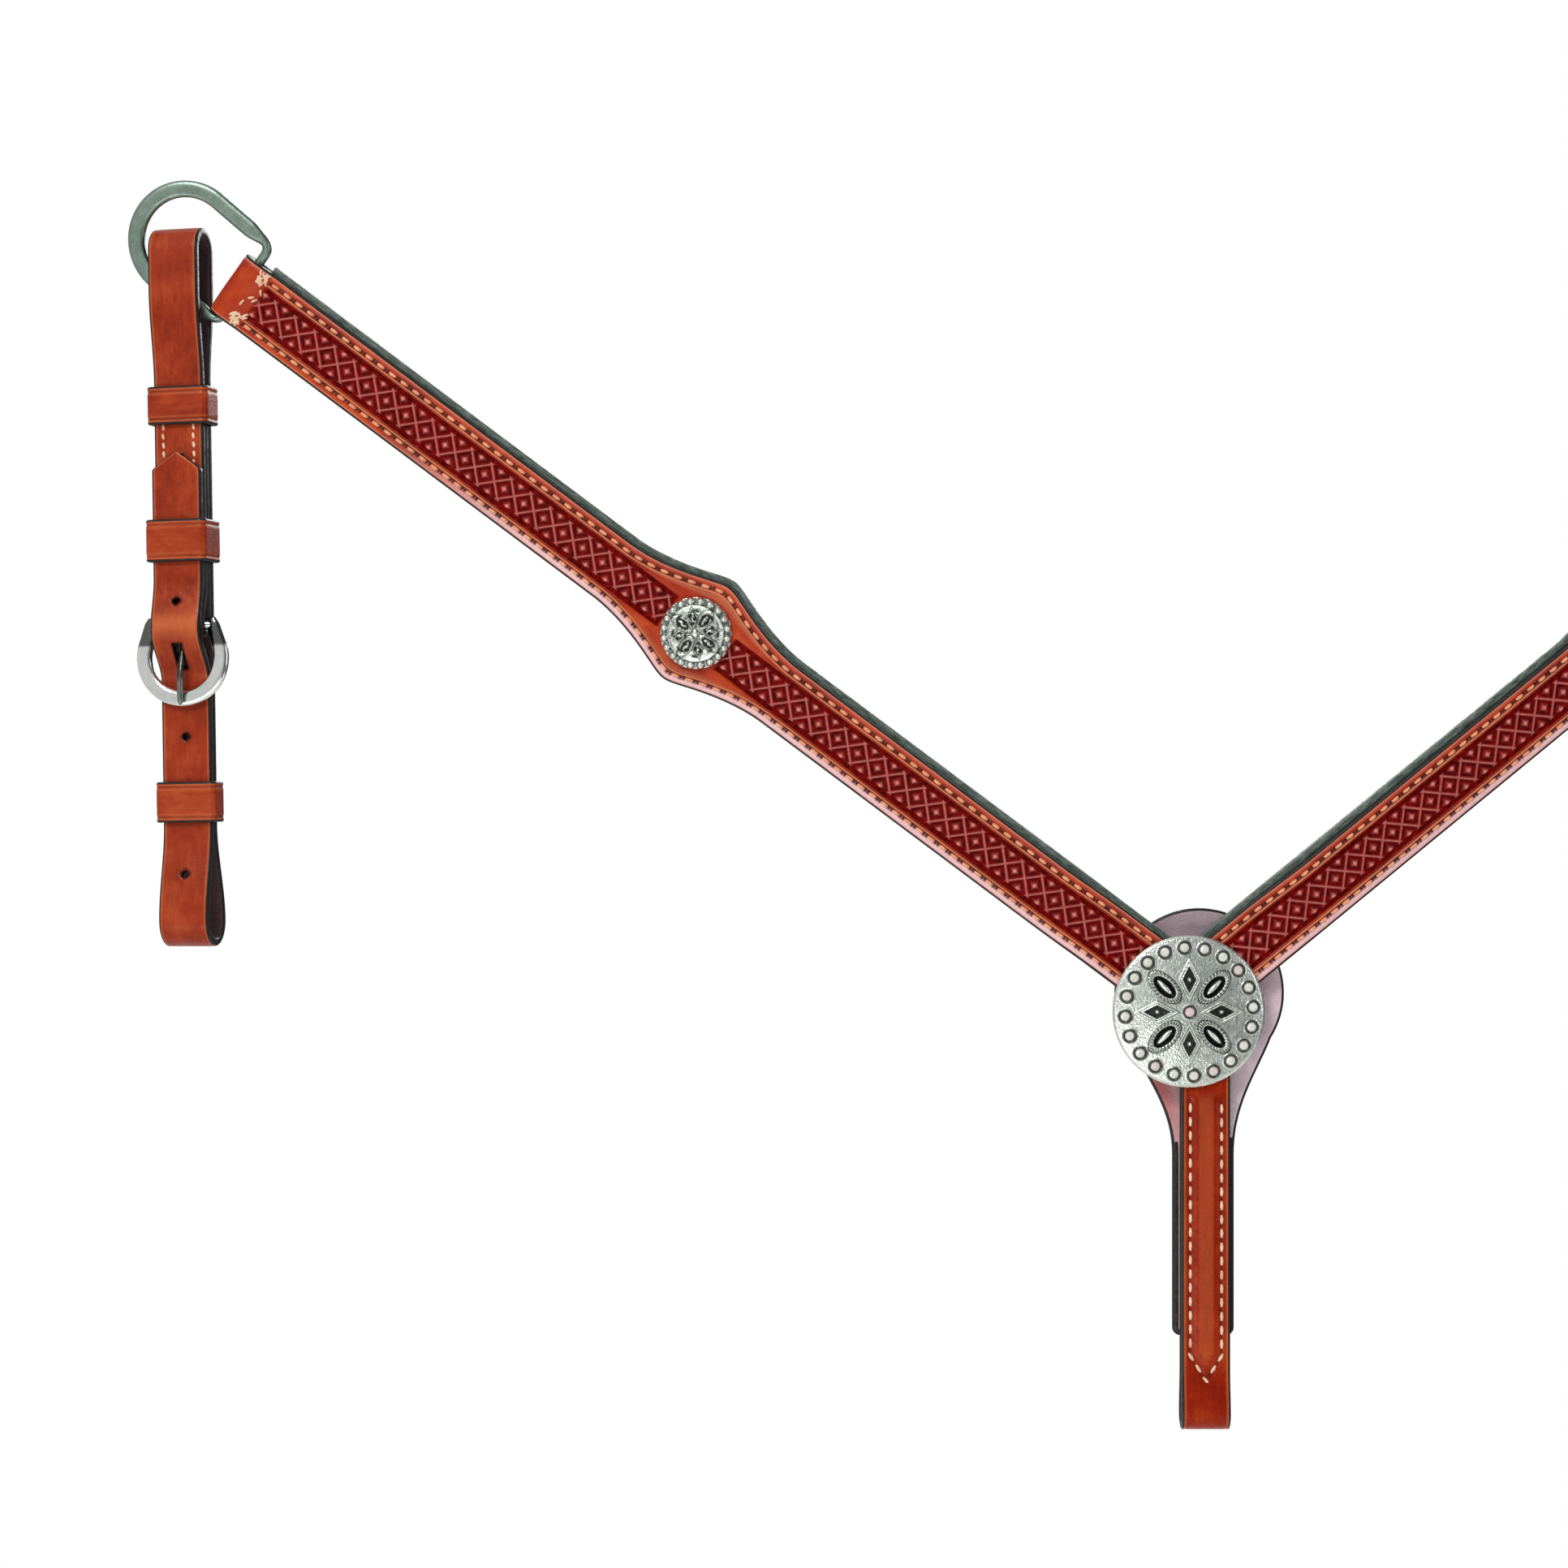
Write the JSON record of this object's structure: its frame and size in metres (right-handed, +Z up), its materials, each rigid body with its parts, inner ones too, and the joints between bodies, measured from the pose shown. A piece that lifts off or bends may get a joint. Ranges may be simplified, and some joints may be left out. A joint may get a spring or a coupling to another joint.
{
  "type": "breastplate",
  "caption": "Western horse breastplate: tooled leather arms with conchos, D-rings and buckled tug straps, and a down strap with a tie-down loop.",
  "frame": {"origin": "on the flat back face of the centre backing, behind the middle of the large concho", "axes": "+X to the viewer's right across the chest, +Z up, -Y out of the front face and +Y into the horse's chest"},
  "size_m": [0.8348, 0.0283, 0.515],
  "materials": {
    "chestnut_leather": "waxed smooth grain, black painted edges",
    "tooled_leather": "basket tooled, waxed",
    "lining_leather": "smooth lining",
    "filler_leather": "raw",
    "antique_silver": "antiqued silver plate",
    "nickel": "cast, satin nickel",
    "bright_silver": "bright plated",
    "screw_steel": "plain"
  },
  "bodies": {
    "centre": {"centre_backing": "lining_leather", "centre_concho": "antique_silver", "centre_concho_screw": "screw_steel", "down_strap": "chestnut_leather", "down_strap_filler": "filler_leather", "left_arm_leather_inner": "tooled_leather", "left_arm_lining_inner": "lining_leather", "right_arm_leather_inner": "tooled_leather", "right_arm_lining_inner": "lining_leather"},
    "left_arm": {"left_arm_leather": "tooled_leather", "left_arm_lining": "lining_leather", "left_concho": "antique_silver", "left_concho_screw": "screw_steel"},
    "left_dee": {"left_dee_ring": "nickel"},
    "left_tug": {"left_tug_strap": "chestnut_leather"},
    "left_buckle": {"left_buckle_frame": "bright_silver"},
    "left_tongue": {"left_buckle_tongue": "nickel"},
    "left_top_keeper": {"left_keeper_top": "chestnut_leather"},
    "left_middle_keeper": {"left_keeper_middle": "chestnut_leather"},
    "left_bottom_keeper": {"left_keeper_bottom": "chestnut_leather"},
    "right_arm": {"right_arm_leather": "tooled_leather", "right_arm_lining": "lining_leather", "right_concho": "antique_silver", "right_concho_screw": "screw_steel"},
    "right_dee": {"right_dee_ring": "nickel"},
    "right_tug": {"right_tug_strap": "chestnut_leather"},
    "right_buckle": {"right_buckle_frame": "bright_silver"},
    "right_tongue": {"right_buckle_tongue": "nickel"},
    "right_top_keeper": {"right_keeper_top": "chestnut_leather"},
    "right_middle_keeper": {"right_keeper_middle": "chestnut_leather"},
    "right_bottom_keeper": {"right_keeper_bottom": "chestnut_leather"}
  },
  "joints": [
    {"name": "left_arm_bend", "type": "hinge", "parent": "centre", "child": "left_arm", "pos_m": [-0.03764, -0.0035, 0.03315], "axis": [-0.599, 0, -0.8007], "range_deg": [0, 45], "stiffness_Nm_per_rad": 3},
    {"name": "left_dee_swing", "type": "hinge", "parent": "left_arm", "child": "left_dee", "pos_m": [-0.37544, -0.00825, 0.28943], "axis": [-0.5899, 0.1736, -0.7886], "range_deg": [-75, 75]},
    {"name": "left_tug_swing", "type": "hinge", "parent": "left_dee", "child": "left_tug", "pos_m": [-0.4014, -0.00485, 0.28477], "axis": [0.8376, -0.0114, -0.5462], "range_deg": [-24, 32]},
    {"name": "left_buckle_tilt", "type": "hinge", "parent": "left_tug", "child": "left_buckle", "pos_m": [-0.40017, -0.00895, 0.15349], "axis": [-0.978, 0.2079, -0.0157], "range_deg": [0, 5]},
    {"name": "left_tongue_lift", "type": "hinge", "parent": "left_buckle", "child": "left_tongue", "pos_m": [-0.40017, -0.00895, 0.15349], "axis": [-0.978, 0.2079, -0.0157], "range_deg": [0, 4]},
    {"name": "left_top_keeper_slide", "type": "slide", "parent": "left_tug", "child": "left_top_keeper", "axis": [-0.0154, 0.0033, 0.9999], "range_m": [-0.01, 0]},
    {"name": "left_middle_keeper_slide", "type": "slide", "parent": "left_tug", "child": "left_middle_keeper", "axis": [-0.0154, 0.0033, 0.9999], "range_m": [-0.006, 0.02]},
    {"name": "left_bottom_keeper_slide", "type": "slide", "parent": "left_tug", "child": "left_bottom_keeper", "axis": [-0.0154, 0.0033, 0.9999], "range_m": [0, 0.025]},
    {"name": "right_arm_bend", "type": "hinge", "parent": "centre", "child": "right_arm", "pos_m": [0.0361, -0.0035, 0.03483], "axis": [-0.6347, 0, 0.7727], "range_deg": [0, 45], "stiffness_Nm_per_rad": 3},
    {"name": "right_dee_swing", "type": "hinge", "parent": "right_arm", "child": "right_dee", "pos_m": [0.36192, -0.00825, 0.30616], "axis": [-0.6251, -0.1736, 0.761], "range_deg": [-75, 75]},
    {"name": "right_tug_swing", "type": "hinge", "parent": "right_dee", "child": "right_tug", "pos_m": [0.38807, -0.00485, 0.30268], "axis": [0.8119, 0.0114, 0.5836], "range_deg": [-24, 32]},
    {"name": "right_buckle_tilt", "type": "hinge", "parent": "right_tug", "child": "right_buckle", "pos_m": [0.39279, -0.00895, 0.17148], "axis": [-0.9777, -0.2079, -0.0287], "range_deg": [0, 5]},
    {"name": "right_tongue_lift", "type": "hinge", "parent": "right_buckle", "child": "right_tongue", "pos_m": [0.39279, -0.00895, 0.17148], "axis": [-0.9777, -0.2079, -0.0287], "range_deg": [0, 4]},
    {"name": "right_top_keeper_slide", "type": "slide", "parent": "right_tug", "child": "right_top_keeper", "axis": [-0.03, 0.0033, 0.9995], "range_m": [-0.01, 0]},
    {"name": "right_middle_keeper_slide", "type": "slide", "parent": "right_tug", "child": "right_middle_keeper", "axis": [-0.03, 0.0033, 0.9995], "range_m": [-0.006, 0.02]},
    {"name": "right_bottom_keeper_slide", "type": "slide", "parent": "right_tug", "child": "right_bottom_keeper", "axis": [-0.03, 0.0033, 0.9995], "range_m": [0, 0.025]}
  ]
}
